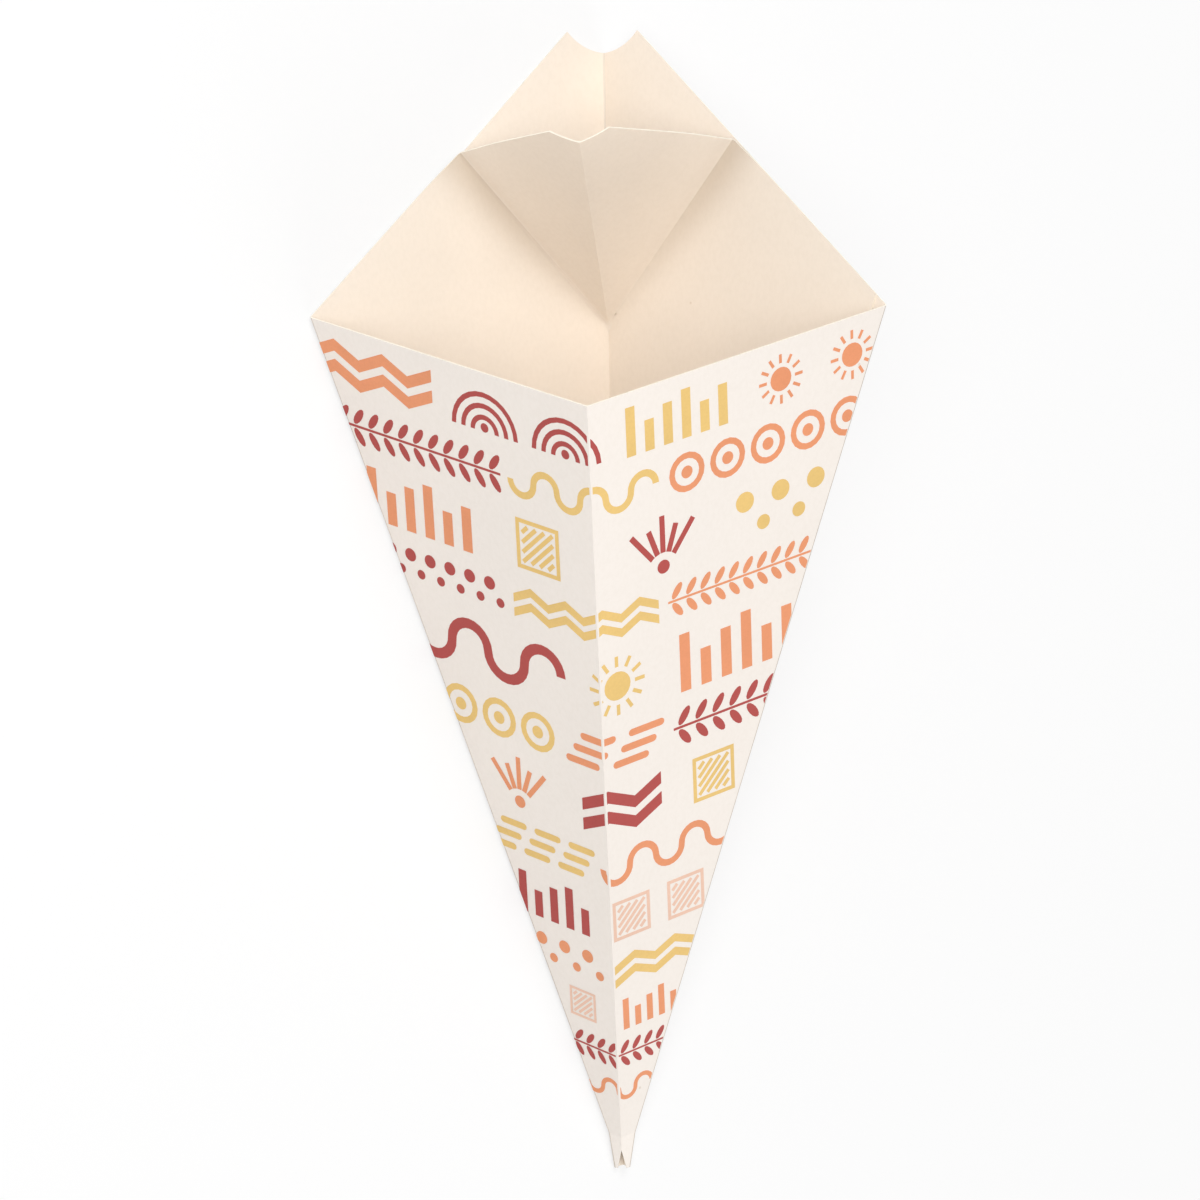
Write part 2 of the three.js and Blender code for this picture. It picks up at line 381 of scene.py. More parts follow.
def new_object(name, bm, materials):
    """Object of a finished bmesh, at the origin"""
    mesh = bpy.data.meshes.new(name)
    bm.to_mesh(mesh)
    bm.free()
    for material in materials:
        mesh.materials.append(material)
    piece = bpy.data.objects.new(name, mesh)
    bpy.context.scene.collection.objects.link(piece)
    return piece


def settle(sizes):
    """Matrix that lays the upright bag on the left half of its back, in the frame's place"""
    cone = Cone(sizes)
    turn = cone.lying()
    low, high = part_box(NODE)
    peak = (cone.outer_peak, sizes.outer_notch_width / 2)
    corners = [turn @ point for point in (
        cone.left * sizes.side_fold,
        cone.right * sizes.side_fold,
        cone.point(cone.meeting, cone.back, cone.left, *peak),
        cone.point(cone.meeting, cone.back, cone.right, *peak),
    )]
    right_gap = high[0] - max(corner.x for corner in corners)
    left_gap = low[0] - min(corner.x for corner in corners)
    far_gap = high[1] - max(corner.y for corner in corners)
    if abs(right_gap - left_gap) > WIDTH_SLACK:
        raise RuntimeError("The folded sheet does not fit the width of its solid")
    shift = Vector(((right_gap + left_gap) / 2, far_gap - PEAK_INSET, low[2] + sizes.card / 2))
    return Matrix.Translation(shift) @ turn


class Sheet:
    """A bmesh of the folded sheet's middle surface, whose panels share named places"""

    def __init__(self):
        self.bm = bmesh.new()
        self.soft = self.bm.faces.layers.int.new("soft")
        self.places = {}

    def vert(self, key, place):
        """The vertex of a named place, made where it is first asked for"""
        if key not in self.places:
            self.places[key] = self.bm.verts.new(place)
        return self.places[key]

    def panel(self, corners, outward, soft=0):
        """A flat face that looks outwards, and that can spring where it is soft"""
        face = self.bm.faces.new([self.vert(key, place) for key, place in corners])
        face.normal_update()
        if face.normal.dot(outward) < 0:
            face.normal_flip()
        face[self.soft] = soft

    def round_folds(self, folds, radius, segments, soft=0):
        """Round the edges that lie on the given lines"""
        found = []
        for start, end in folds:
            run = end - start
            for edge in self.bm.edges:
                reaches = [vert.co - start for vert in edge.verts]
                along = [reach.dot(run) / run.length_squared for reach in reaches]
                away = [(reach - run * share).length for reach, share in zip(reaches, along)]
                inside = -FOLD_OVERRUN < min(along) and max(along) < 1 + FOLD_OVERRUN
                if max(away) < ON_FOLD and inside:
                    found.append(edge)
        made = bmesh.ops.bevel(
            self.bm, geom=found, offset=radius, offset_type="OFFSET", segments=segments,
            profile=0.5, affect="EDGES", material=-1, clamp_overlap=True,
        )
        for face in made["faces"]:
            face.material_index = OUTSIDE if soft else WORN
            face[self.soft] = soft
            face.smooth = True


def folded_sheet(s):
    """Middle surface of the whole sheet, upright"""
    cone = Cone(s)
    sheet = Sheet()
    low = s.tip_start / math.cos(cone.side_lean) * math.cos(cone.panel_angle)
    spread = s.tip_width / 2 / (s.tip_cut * math.tan(cone.side_lean))
    back_end = cone.back * (s.tip_cut / cone.back.z)

    def tip(direction):
        return back_end + (direction * (s.tip_cut / direction.z) - back_end) * spread

    def front_left(x):
        place = cone.side_point(x, cone.inner_lap)
        return cone.point(cone.meeting, cone.front, cone.left, *place)

    def outer(side, x, y):
        return cone.point(cone.meeting, cone.back, side, x, y)

    def inner(side, x, y):
        return cone.point(cone.inner_meeting, cone.back, side, x, y)

    fold_left, low_left = front_left(cone.rim), front_left(low)
    rim_front, low_front = cone.front * cone.rim, cone.front * low
    rim_right = cone.right * s.side_fold
    low_right = outer(cone.right, low, low * math.tan(cone.panel_angle))
    left_end = tip(cone.left) + cone.inner_meeting
    tip_front = tip(cone.front)
    slit_top = tip_front.lerp(low_front, s.slit_height / (low_front - tip_front).length)

    def slit(side):
        return tip_front + (tip(side) - tip_front).normalized() * (s.slit_width / 2)

    # The front: two panels, and below each of them its end with half the slit
    out_front_right = cone.right.cross(cone.front)
    out_front_left = cone.front.cross(cone.left)
    sheet.panel([("low_f", low_front), ("low_r", low_right), ("rim_r", rim_right),
                 ("rim_f", rim_front)], out_front_right)
    sheet.panel([("low_l", low_left), ("low_f", low_front), ("rim_f", rim_front),
                 ("rim_l", fold_left)], out_front_left)
    sheet.panel([("slit_t", slit_top), ("slit_r", slit(cone.right)), ("tip_r", tip(cone.right)),
                 ("low_r", low_right), ("low_f", low_front)], out_front_right)
    sheet.panel([("slit_t", slit_top), ("slit_l", slit(cone.left)), ("tip_l", left_end),
                 ("low_l", low_left), ("low_f", low_front)], out_front_left)

    # The outer layer of the back, from the right fold to the lap at the left one
    out_back_right = cone.back.cross(cone.right)
    out_back_left = cone.left.cross(cone.back)
    arc = notch_arc(
        cone.outer_peak - s.outer_notch_depth, s.outer_notch_width, s.outer_notch_depth
    )
    lap_start = outer(cone.left, s.lap_gap / math.sin(cone.panel_angle), 0)
    lap_rim = outer(cone.left, *cone.side_point(cone.rim, s.lap_gap))
    right_arc = [(f"on_r{i}" if i else "on_0", outer(cone.right, *place))
                 for i, place in enumerate(arc)]
    left_arc = [(f"on_l{i}" if i else "on_0", outer(cone.left, *place))
                for i, place in enumerate(arc)]
    sheet.panel([("lap_0", lap_start), *right_arc, ("rim_r", rim_right), ("low_r", low_right),
                 ("tip_r", tip(cone.right)), ("tip_b", back_end)], out_back_right)
    sheet.panel([("lap_0", lap_start), *left_arc, ("lap_rim", lap_rim)], out_back_left)

    # The inner layer, from the left fold to the seam beside the right one, below the V
    pocket, corner_left, corner_right = cone.pocket()
    seam_start = inner(cone.right, s.seam_gap / math.sin(cone.panel_angle), 0)
    seam_rim = inner(cone.right, *cone.slanted_at(s.seam_gap))
    sheet.panel([("inner_tip", back_end + cone.inner_meeting), ("seam_0", seam_start),
                 ("pocket", pocket), ("corner_l", corner_left), ("rim_l", fold_left),
                 ("low_l", low_left), ("tip_l", left_end)], out_back_left, 1)
    sheet.panel([("seam_0", seam_start), ("seam_rim", seam_rim), ("corner_r", corner_right),
                 ("pocket", pocket)], out_back_right, 1)

    # The two halves of the flap, pushed forward above the V
    crease_normal = (corner_left - pocket).cross(corner_right - pocket).normalized()
    ridge = cone.back.reflect(crease_normal)
    ridge.rotate(Quaternion((1, 0, 0), -s.pocket_ease))
    ridge.rotate(Quaternion((0, 1, 0), -s.ridge_sway))
    arc = notch_arc(cone.inner_peak - s.inner_notch_depth - s.pocket_base,
                    s.inner_notch_width, s.inner_notch_depth, 8)
    for label, corner in (("l", corner_left), ("r", corner_right)):
        arm = corner - pocket
        across = (arm - ridge * arm.dot(ridge)).normalized()
        flap = [(f"in_{label}{i}" if i else "in_0", pocket + ridge * x + across * y)
                for i, (x, y) in enumerate(arc)]
        sheet.panel([("pocket", pocket), *flap, ("corner_" + label, corner)],
                    Vector((0, 1, 0)), 1)

    sheet.round_folds([(pocket, corner_left), (pocket, corner_right)],
                      s.crease_radius, CREASE_SEGMENTS, 1)
    sheet.round_folds([
        (tip_front, rim_front),
        (low_right, rim_right),
        (low_left, fold_left),
        (low_right, tip(cone.right)),
        (low_left, left_end),
        (lap_start, outer(cone.left, cone.outer_peak, 0)),
        (seam_start, pocket),
        (pocket, pocket + ridge * (cone.inner_peak - s.pocket_base)),
    ], s.fold_radius, FOLD_SEGMENTS)
    return sheet


def smooth_step(value):
    """Rise from 0 to 1 with a soft start and a soft end"""
    value = min(max(value, 0.0), 1.0)
    return value * value * (3 - 2 * value)


def cut_finely(bm, soft, low, corner, forward):
    """Cut the soft faces near one crease of the pocket into small ones"""
    arm = corner - low
    beside = arm.cross(forward).normalized()
    outline = [(low + beside * (sign * FINE_REACH), beside) for sign in (-1, 1)]
    cuts = [(low + arm * (i / CUTS_ALONG), arm.normalized()) for i in range(1, CUTS_ALONG)]
    cuts += [(low + beside * (sign * reach * MM), beside)
             for sign in (-1, 1) for reach in CUTS_BESIDE]

    def near(face):
        line = (corner - low).normalized()
        reach = face.calc_center_median() - low
        return (reach - line * reach.dot(line)).length < FINE_REACH

    for turn, (place, normal) in enumerate(outline + cuts):
        faces = [face for face in bm.faces if face[soft] and (turn < len(outline) or near(face))]
        parts = {item for face in faces for item in (*face.verts, *face.edges)}
        bmesh.ops.bisect_plane(
            bm, geom=[*parts, *faces], plane_co=place, plane_no=normal, dist=1e-6
        )


def spring_forward(bm, cone):
    """Let the card beside the pocket's creases bulge towards the mouth, most at the corners, and
    lay painted shade beside them
    """
    s = cone.s
    soft = bm.faces.layers.int["soft"]
    low, left, right = cone.pocket()
    forward = (right - low).cross(left - low).normalized()
    if forward.y > 0:
        forward.negate()
    # Painted shade beside the creases, stored per vertex for the inside card
    bend = bm.verts.layers.float.new("bend")
    for corner in (left, right):
        cut_finely(bm, soft, low, corner, forward)
    moved = {}
    for vert in bm.verts:
        if not vert.link_faces or not all(face[soft] for face in vert.link_faces):
            continue
        push = 0.0
        for corner in (left, right):
            arm = corner - low
            along = (vert.co - low).dot(arm) / arm.length_squared
            gap = ((vert.co - low) - arm * along).length
            rise = smooth_step(along)
            reach = s.bulge_reach * (BULGE_AT_POINT + (1 - BULGE_AT_POINT) * rise)
            push = max(push, s.bulge * rise * math.exp(-((gap / reach) ** 2)))
            # Painted shade on the panel side of each crease, strongest towards the corners
            crease_height = cone.back.dot(arm) * max(along, 0.0)
            if cone.back.dot(vert.co - low) < crease_height + ON_FOLD:
                strength = PAINTED_SHADE_AT_POINT + (1 - PAINTED_SHADE_AT_POINT) * rise
                painted_darkness = strength * math.exp(-((gap / reach / PAINTED_SHADE_SPREAD) ** 2))
                vert[bend] = max(vert[bend], painted_darkness)
        moved[vert] = push
    for face in bm.faces:
        if min(moved.get(vert, 0.0) for vert in face.verts) > LEAST_PUSH:
            face.smooth = True
    for vert, push in moved.items():
        vert.co += forward * push
    for edge in bm.edges:
        edge.smooth = not edge.is_boundary


class CONEBAG_OT_card(bpy.types.Operator):
    """Fold the card sheet of the bag"""

    bl_idname = "conebag.card"
    bl_label = "Fold the Card"

    def execute(self, context):
        s = context.scene.cone_sizes
        tones = context.scene.card_colours
        bm = folded_sheet(s).bm
        spring_forward(bm, Cone(s))
        bmesh.ops.triangulate(bm, faces=[face for face in bm.faces if len(face.verts) > 4])
        bm.transform(settle(s))
        outside = card_material(
            "card_outside", rgba(tones.outside), roughness=0.42, gloss=0.45, fibre=0.12,
            mottle=0.02,
        )
        # The inside card carries the painted shade beside the pocket's creases
        inside = card_material(
            "card_inside", rgba(tones.inside), roughness=0.8, gloss=0.25, fibre=0.35,
            mottle=0.035, painted_shade_strength=0.95,
        )
        edge = card_material(
            "card_edge", rgba(tones.edge), roughness=0.85, gloss=0.2, fibre=0.4, mottle=0.02
        )
        worn = card_material(
            "card_worn_fold", rgba(tones.worn), roughness=0.7, gloss=0.25, fibre=0.5, mottle=0.12
        )
        # Inside of the folds: a darker copy of the inside card, partly crease wear and partly
        # painted shade along the creases
        worn_and_shaded_inside = card_material(
            "card_inner_fold", shade(rgba(tones.inside), 0.88), roughness=0.8, gloss=0.2,
            fibre=0.5, mottle=0.08,
        )
        piece = new_object("card_sheet", bm, [outside, inside, edge, worn, worn_and_shaded_inside, edge])
        wall = piece.modifiers.new("card_thickness", "SOLIDIFY")
        wall.thickness = s.card
        wall.offset = 0.0
        wall.use_even_offset = True
        wall.material_offset = INSIDE
        wall.material_offset_rim = EDGE
        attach(piece, BODY)
        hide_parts(NODE)
        return {"FINISHED"}


class Print:
    """Ink shapes of one colour on the flat sheet, x across and y up the middle fold"""

    def __init__(self):
        self.bm = bmesh.new()

    def tile(self, at, width, height, turn=0.0):
        """A box"""
        place = Matrix.Translation((*at, 0)) @ Matrix.Rotation(turn, 4, "Z")
        place = place @ Matrix.Diagonal((width / 2, height / 2, 1, 1))
        bmesh.ops.create_grid(self.bm, x_segments=1, y_segments=1, size=1.0, matrix=place)

    def disc(self, at, width, height=None, turn=0.0, sides=20):
        """A filled circle, or a leaf where a height is given"""
        place = Matrix.Translation((*at, 0)) @ Matrix.Rotation(turn, 4, "Z")
        place = place @ Matrix.Diagonal((width / 2, (height or width) / 2, 1, 1))
        bmesh.ops.create_circle(
            self.bm, cap_ends=True, segments=sides, radius=1.0, matrix=place
        )

    def arc(self, at, radius, line, start=0.0, sweep=math.tau, steps=18):
        """A line bent round a centre, a ring unless a sweep is given"""
        centre = Vector((*at, 0))
        arm = Matrix.Rotation(start, 3, "Z") @ Vector((1, 0, 0))
        ends = [self.bm.verts.new(centre + arm * (radius - line * side)) for side in (-0.5, 0.5)]
        rung = self.bm.edges.new(ends)
        bmesh.ops.spin(
            self.bm, geom=[*ends, rung], cent=centre, axis=(0, 0, 1), angle=sweep, steps=steps,
            use_merge=abs(sweep - math.tau) < 1e-6,
        )

    def ribbon(self, points, line):
        """A ribbon through the points, as tall as the line everywhere"""
        rungs = [[self.bm.verts.new((x, y + line * side, 0)) for side in (-0.5, 0.5)]
                 for x, y in points]
        for first, second in zip(rungs, rungs[1:]):
            self.bm.faces.new((first[0], second[0], second[1], first[1]))

    def ray(self, foot, turn, start, end, width):
        """A box that points away from a foot"""
        middle = foot + Vector((math.cos(turn), math.sin(turn))) * (start + end) / 2
        self.tile(middle, end - start, width, turn)


# Each motif fills a row from x0 to x1, with its middle at the height y. Its sizes are shares of
# the row's height.


def places(x0, x1, pitch):
    """Middles of as many equal places as fit, and their true pitch"""
    count = max(1, int((x1 - x0) / pitch + 1e-6))
    step = (x1 - x0) / count
    return [x0 + step * (i + 0.5) for i in range(count)], step


def bars_row(ink, x0, x1, y, height):
    """Upright bars of three heights, in turn"""
    middles, pitch = places(x0, x1, height * 0.36)
    for i, x in enumerate(middles):
        tall = height * (0.95, 0.6, 0.8)[i % 3]
        ink.tile((x, y - height / 2 + tall / 2), pitch * 0.5, tall)


def waves_row(ink, x0, x1, y, height, weight=0.17):
    """A ribbon of half rings, up and down"""
    middles, pitch = places(x0, x1, height * 0.66)
    for i, x in enumerate(middles):
        ink.arc((x, y), pitch / 2, height * weight, 0.0 if i % 2 else math.pi, math.pi, 12)


def rings_row(ink, x0, x1, y, height, weight=0.15):
    """Rings with a dot in each"""
    for x in places(x0, x1, height * 1.02)[0]:
        ink.arc((x, y), height * 0.4, height * weight)
        ink.disc((x, y), height * 0.3)


def leaves_row(ink, x0, x1, y, height):
    """A stem with leaves in pairs"""
    ink.tile(((x0 + x1) / 2, y), x1 - x0, height * 0.06)
    for x in places(x0, x1, height * 0.42)[0]:
        for turn in (0.95, -0.95):
            aim = Vector((math.cos(turn), math.sin(turn)))
            middle = Vector((x - height * 0.12, y)) + aim * height * 0.31
            ink.disc(middle, height * 0.48, height * 0.2, turn, 14)


def zigzag_row(ink, x0, x1, y, height, weight=0.24):
    """Two zigzag ribbons, one over the other"""
    middles, pitch = places(x0, x1, height * 0.5)
    for level in (-0.2, 0.2):
        base = y + height * level
        points = [(x0, base - height * 0.14)]
        for i, x in enumerate(middles):
            points.append((x + pitch / 2, base + height * (-0.14 if i % 2 else 0.14)))
        ink.ribbon(points, height * weight)


def scallops_row(ink, x0, x1, y, height, weight=0.1):
    """Arches inside each other, side by side"""
    for x in places(x0, x1, height * 1.6)[0]:
        foot = y - height * 0.42
        for radius in (0.72, 0.5, 0.28):
            ink.arc((x, foot), height * radius, height * weight, 0.0, math.pi, 14)
        ink.disc((x, foot + height * 0.08), height * 0.18)


def hatched_row(ink, x0, x1, y, height, weight=0.075):
    """Open boxes filled with slanted lines"""
    line = height * weight
    side = height * 0.82
    diagonal = 0.7071  # sine and cosine of 45 degrees
    for x in places(x0, x1, height * 1.04)[0]:
        for sign in (-1, 1):
            ink.tile((x + sign * side / 2, y), line, side - line)
            ink.tile((x, y + sign * side / 2), side + line, line)
        for step in range(-3, 4):
            away = step * side * 0.15
            reach = 2 * (side * diagonal - abs(away)) - 3.4 * line
            ink.tile((x + away * diagonal, y - away * diagonal), reach, line, math.pi / 4)


def fans_row(ink, x0, x1, y, height):
    """Fans of sticks from one foot"""
    for x in places(x0, x1, height * 1.2)[0]:
        foot = Vector((x, y - height * 0.48))
        for step in range(-2, 3):
            end = height * (0.98 if step % 2 == 0 else 0.82)
            ink.ray(foot, math.pi / 2 + step * 0.33, height * 0.33, end, height * 0.1)
        ink.disc(foot + Vector((0, height * 0.08)), height * 0.24)


def dots_row(ink, x0, x1, y, height):
    """Two lines of dots, set in between each other"""
    middles, pitch = places(x0, x1, height * 0.62)
    for x in middles:
        ink.disc((x - pitch / 4, y + height * 0.22), height * 0.36)
        ink.disc((x + pitch / 4, y - height * 0.24), height * 0.26)


def suns_row(ink, x0, x1, y, height):
    """Discs with short rays"""
    rays = 12
    for x in places(x0, x1, height * 1.1)[0]:
        middle = Vector((x, y))
        ink.disc(middle, height * 0.46)
        for step in range(rays):
            turn = math.tau * step / rays
            ink.ray(middle, turn, height * 0.31, height * 0.48, height * 0.06)


def dashes_row(ink, x0, x1, y, height):
    """Three lines of long rounded dashes, like bricks"""
    for level in (-1, 0, 1):
        middles, pitch = places(x0, x1, height * 0.95)
        base = y + level * height * 0.32
        bar = height * 0.17
        for x in middles:
            middle = x + level * pitch * 0.17
            half = pitch * 0.3
            ink.tile((middle, base), 2 * half, bar)
            ink.arc((middle + half, base), bar / 4, bar / 2, -math.pi / 2, math.pi, 6)
            ink.arc((middle - half, base), bar / 4, bar / 2, math.pi / 2, math.pi, 6)


# Rows from the top down: height and gap below in millimetres, then motif, ink and share of the
# width, from left to right
FRONT_ROWS = (
    (13.0, 3.4, ((zigzag_row, "orange", 0.24), (scallops_row, "brick", 0.30),
                 (bars_row, "yellow", 0.20), (suns_row, "orange", 0.26))),
    (10.5, 3.6, ((leaves_row, "brick", 0.34), (waves_row, "yellow", 0.28),
                 (rings_row, "orange", 0.38))),
    (14.5, 3.6, ((bars_row, "orange", 0.27), (hatched_row, "yellow", 0.23),
                 (fans_row, "brick", 0.26), (dots_row, "yellow", 0.24))),
    (9.5, 3.8, ((dots_row, "brick", 0.30), (zigzag_row, "yellow", 0.34),
                (leaves_row, "orange", 0.36))),
    (16.0, 3.6, ((waves_row, "brick", 0.42), (suns_row, "yellow", 0.24),
                 (bars_row, "orange", 0.34))),
    (11.0, 3.6, ((rings_row, "yellow", 0.38), (dashes_row, "orange", 0.30),
                 (leaves_row, "brick", 0.32))),
    (13.5, 3.4, ((fans_row, "orange", 0.40), (zigzag_row, "brick", 0.30),
                 (hatched_row, "yellow", 0.30))),
    (10.5, 3.2, ((dashes_row, "yellow", 0.46), (waves_row, "orange", 0.54))),
    (12.0, 3.2, ((bars_row, "brick", 0.44), (hatched_row, "peach", 0.56))),
    (9.5, 3.0, ((dots_row, "orange", 0.48), (zigzag_row, "yellow", 0.52))),
    (9.0, 2.8, ((hatched_row, "peach", 0.5), (bars_row, "orange", 0.5))),
    (8.0, 2.6, ((leaves_row, "brick", 1.0),)),
    (7.0, 2.4, ((waves_row, "orange", 1.0),)),
    (6.0, 2.2, ((bars_row, "brick", 1.0),)),
)
BACK_ROWS = (
    (12.0, 5.0, ((leaves_row, "orange", 1.0),)),
    (10.5, 4.6, ((dots_row, "brick", 0.4), (waves_row, "yellow", 0.6))),
    (13.0, 4.6, ((fans_row, "yellow", 0.5), (rings_row, "brick", 0.5))),
    (12.0, 4.0, ((hatched_row, "orange", 0.4), (zigzag_row, "brick", 0.6))),
) + FRONT_ROWS
INKS = ("brick", "orange", "yellow", "peach")


def draw_rows(inks, rows, top, tangent):
    """Draw the rows from the top down, each as wide as the panels are there"""
    y = top
    for height, gap, parts in rows:
        height, gap = height * MM, gap * MM
        middle = y - height / 2
        half = middle * tangent * ROW_OVERHANG
        inset = height * CELL_INSET
        start = -half
        for motif, ink, share in parts:
            end = start + 2 * half * share
            motif(inks[ink], start + inset, end - inset, middle, height)
            start = end
        y -= height + gap
        if y < LOWEST_ROW:
            break


def cut_flat(bm, place, normal, clear=False):
    """Cut flat ink along a line, and clear the side that the normal points to if asked"""
    bmesh.ops.bisect_plane(
        bm, geom=[*bm.verts, *bm.edges, *bm.faces], plane_co=place, plane_no=normal,
        clear_outer=clear, dist=1e-7,
    )


def trim_print(bm, cone, left_inset, has_peak):
    """Cut flat ink off beside the side folds, and below the peak's slanted edges"""
    for sign, inset in ((-1, left_inset), (1, INK_MARGIN)):
        normal = Vector((
            sign * math.cos(cone.panel_angle), -math.sin(cone.panel_angle), 0
        ))
        cut_flat(bm, -normal * inset, normal, clear=True)
    if has_peak:
        run = Vector((cone.s.outer_notch_width / 2 - cone.rim_half, cone.outer_peak - cone.rim))
        run.normalize()
        for sign in (-1, 1):
            normal = Vector((sign * run.y, -run.x, 0))
            corner = Vector((sign * cone.rim_half, cone.rim, 0))
            cut_flat(bm, corner - normal * PEAK_MARGIN, normal, clear=True)


def lay_print(bm, cone, fold):
    """Fold flat ink along the middle fold onto the two panels beside it"""
    for place in (-RUBBED, RUBBED):
        cut_flat(bm, (place, 0, 0), (1, 0, 0))
    rubbed = [face for face in bm.faces if abs(face.calc_center_median().x) < RUBBED]
    bmesh.ops.delete(bm, geom=rubbed, context="FACES")
    lift = cone.s.card / 2 + INK_LIFT
    lean = (cone.right - fold * cone.right.dot(fold)).normalized()
    turn = math.copysign(1.0, fold.y)
    for vert in bm.verts:
        x, y = vert.co.x, vert.co.y
        across = Vector((math.copysign(lean.x, x), lean.y, lean.z))
        outward = across.cross(fold).normalized()
        outward *= math.copysign(1.0, outward.y * turn)
        vert.co = fold * y + across * abs(x) + outward * lift


class CONEBAG_OT_print(bpy.types.Operator):
    """Print the generic motifs on the front and the back panels"""

    bl_idname = "conebag.print"
    bl_label = "Print the Card"

    def execute(self, context):
        s = context.scene.cone_sizes
        tones = context.scene.card_colours
        cone = Cone(s)
        lay = settle(s)
        materials = {
            name: ink_material("ink_" + name, rgba(getattr(tones, name))) for name in INKS
        }
        sides = (
            ("front", FRONT_ROWS, cone.rim - FRONT_TOP, cone.front, INK_MARGIN),
            ("back", BACK_ROWS, cone.outer_peak - BACK_TOP, cone.back, s.lap_gap + INK_MARGIN),
        )
        for label, rows, top, fold, left_inset in sides:
            inks = {name: Print() for name in INKS}
            draw_rows(inks, rows, top, math.tan(cone.panel_angle))
            for name in INKS:
                bm = inks[name].bm
                trim_print(bm, cone, left_inset, label == "back")
                if not bm.faces:
                    raise RuntimeError(f"Nothing is printed in {name} on the {label} panels")
                bmesh.ops.remove_doubles(bm, verts=bm.verts, dist=1e-6)
                lay_print(bm, cone, fold)
                bm.transform(lay)
                piece = new_object(f"print_{label}_{name}", bm, [materials[name]])
                film = piece.modifiers.new("ink_film", "SOLIDIFY")
                film.thickness = s.ink
                film.offset = 1.0
                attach(piece, BODY)
        return {"FINISHED"}


def seen_rays(tree):
    """1 for the rays of the camera, of reflections and of see-through parts, 0 for all others"""
    path = tree.nodes.new("ShaderNodeLightPath")
    either = path.outputs["Is Camera Ray"]
    for kind in ("Is Glossy Ray", "Is Transmission Ray"):
        larger = tree.nodes.new("ShaderNodeMath")
        larger.operation = "MAXIMUM"
        tree.links.new(either, larger.inputs[0])
        tree.links.new(path.outputs[kind], larger.inputs[1])
        either = larger.outputs[0]
    return either


def blend_into(tree, factor, first, second, output):
    """Send a mix of two shaders to the output"""
    blend = tree.nodes.new("ShaderNodeMixShader")
    for start, socket in zip((factor, first.outputs[0], second.outputs[0]), blend.inputs):
        tree.links.new(start, socket)
    tree.links.new(blend.outputs[0], tree.nodes[output].inputs["Surface"])


def studio_world(level):
    """Even white light at the given level, seen as plain white"""
    world = bpy.data.worlds.new("studio_world")
    world.use_nodes = True
    tree = world.node_tree
    light = tree.nodes["Background"]
    white = tree.nodes.new("ShaderNodeBackground")
    for background, strength in ((light, level), (white, 1.0)):
        background.inputs["Color"].default_value = WHITE
        background.inputs["Strength"].default_value = strength
    blend_into(tree, seen_rays(tree), light, white, "World Output")
    return world


def studio_floor():
    """Pale floor that the camera sees close to white, with the bag's soft shadow"""
    bm = bmesh.new()
    bmesh.ops.create_circle(bm, cap_ends=True, segments=96, radius=FLOOR_RADIUS)
    bmesh.ops.translate(bm, verts=bm.verts, vec=(0, 0, -FLOOR_DROP))
    material = bpy.data.materials.new("studio_floor")
    material.use_nodes = True
    tree = material.node_tree
    bsdf = tree.nodes["Principled BSDF"]
    bsdf.inputs["Base Color"].default_value = (0.9, 0.9, 0.9, 1)
    bsdf.inputs["Roughness"].default_value = 0.9
    bsdf.inputs["Specular IOR Level"].default_value = 0.0
    glow = tree.nodes.new("ShaderNodeEmission")
    share = tree.nodes.new("ShaderNodeMath")
    share.operation = "MULTIPLY"
    share.inputs[1].default_value = FLOOR_GLOW
    tree.links.new(seen_rays(tree), share.inputs[0])
    blend_into(tree, share.outputs[0], bsdf, glow, "Material Output")
    floor = new_object("studio_floor", bm, [material])


def softbox(name, place, target, size, watts):
    """A round area lamp that faces its target"""
    data = bpy.data.lights.new(name, "AREA")
    data.shape = "DISK"
    data.size = size
    data.energy = watts
    lamp = bpy.data.objects.new(name, data)
    lamp.matrix_world = Matrix.Translation(place) @ (
        (Vector(target) - Vector(place)).to_track_quat("-Z", "Y").to_matrix().to_4x4()
    )
    bpy.context.scene.collection.objects.link(lamp)


def studio_camera(sizes, view):
    """Camera that sees the lying bag as if it stood upright"""
    tilt = Matrix((
        (1, 0, 0),
        (0, -math.sin(view.view_height), -math.cos(view.view_height)),
        (0, math.cos(view.view_height), -math.sin(view.view_height)),
    ))
    turn = Matrix.Rotation(view.view_turn, 3, "Z")
    roll = Matrix.Rotation(view.view_roll, 3, "Z")
    look = roll @ tilt @ turn
    place = -(look.transposed() @ Vector((view.aside, view.below, view.distance)))
    axes = Matrix((look[0], -look[1], -look[2])).transposed()
    data = bpy.data.cameras.new("camera")
    data.lens = view.lens
    data.sensor_width = 36.0
    data.clip_start = 0.05
    camera = bpy.data.objects.new("camera", data)
    camera.matrix_world = settle(sizes) @ Matrix.Translation(place) @ axes.to_4x4()
    bpy.context.scene.collection.objects.link(camera)
    return camera


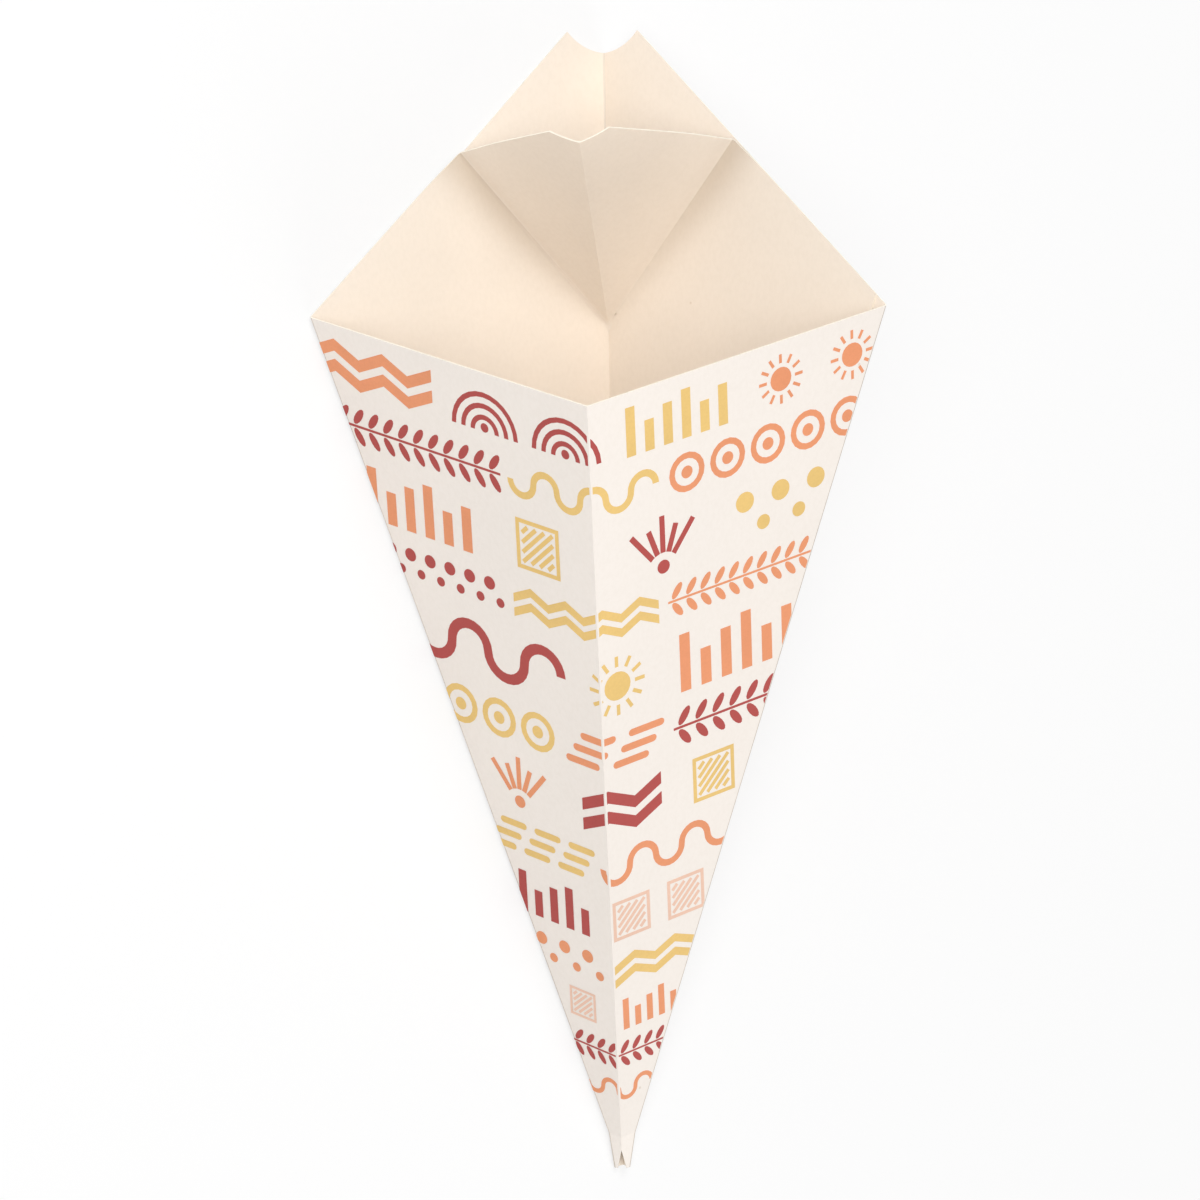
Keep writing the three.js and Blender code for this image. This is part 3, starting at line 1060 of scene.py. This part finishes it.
class CONEBAG_OT_stage(bpy.types.Operator):
    """Set the floor, the soft light and the camera"""

    bl_idname = "conebag.stage"
    bl_label = "Set the Stage"

    def execute(self, context):
        view = context.scene.stage_settings
        camera = studio_camera(context.scene.cone_sizes, view)
        context.scene.camera = camera
        studio_floor()
        softbox("front_light", place=camera.matrix_world.translation * 1.15,
                target=(0, 0.02, 0.03), size=0.7, watts=view.front_power)
        softbox("tip_light", place=(0.5, -1.1, 1.0),
                target=(0, 0, 0.03), size=0.9, watts=view.tip_power)
        softbox("mouth_light", place=(-0.1, 0.95, 1.25),
                target=(0, 0.05, 0.03), size=0.9, watts=view.mouth_power)
        context.scene.world = studio_world(view.sky)
        context.scene.view_settings.view_transform = "Standard"
        return {"FINISHED"}


class CONEBAG_PT_panel(bpy.types.Panel):
    """Sidebar panel of the bag"""

    bl_label = "Paper Cone Bag"
    bl_space_type = "VIEW_3D"
    bl_region_type = "UI"
    bl_category = "Cone Bag"

    def draw(self, context):
        scene = context.scene
        for operator in OPERATORS:
            self.layout.operator(operator.bl_idname)
        for group in (scene.cone_sizes, scene.card_colours, scene.stage_settings):
            box = self.layout.box()
            for name in group.__annotations__:
                box.prop(group, name)


GROUPS = (ConeSizes, CardColours, StageSettings)
OPERATORS = (CONEBAG_OT_stage, CONEBAG_OT_card, CONEBAG_OT_print)


def register():
    for item in (*GROUPS, *OPERATORS, CONEBAG_PT_panel):
        bpy.utils.register_class(item)
    bpy.types.Scene.cone_sizes = PointerProperty(type=ConeSizes)
    bpy.types.Scene.card_colours = PointerProperty(type=CardColours)
    bpy.types.Scene.stage_settings = PointerProperty(type=StageSettings)


def unregister():
    del bpy.types.Scene.cone_sizes
    del bpy.types.Scene.card_colours
    del bpy.types.Scene.stage_settings
    for item in (CONEBAG_PT_panel, *reversed(OPERATORS), *reversed(GROUPS)):
        bpy.utils.unregister_class(item)


def main():
    register()
    bpy.ops.conebag.stage()
    bpy.ops.conebag.card()
    bpy.ops.conebag.print()


if __name__ == "__main__":
    main()
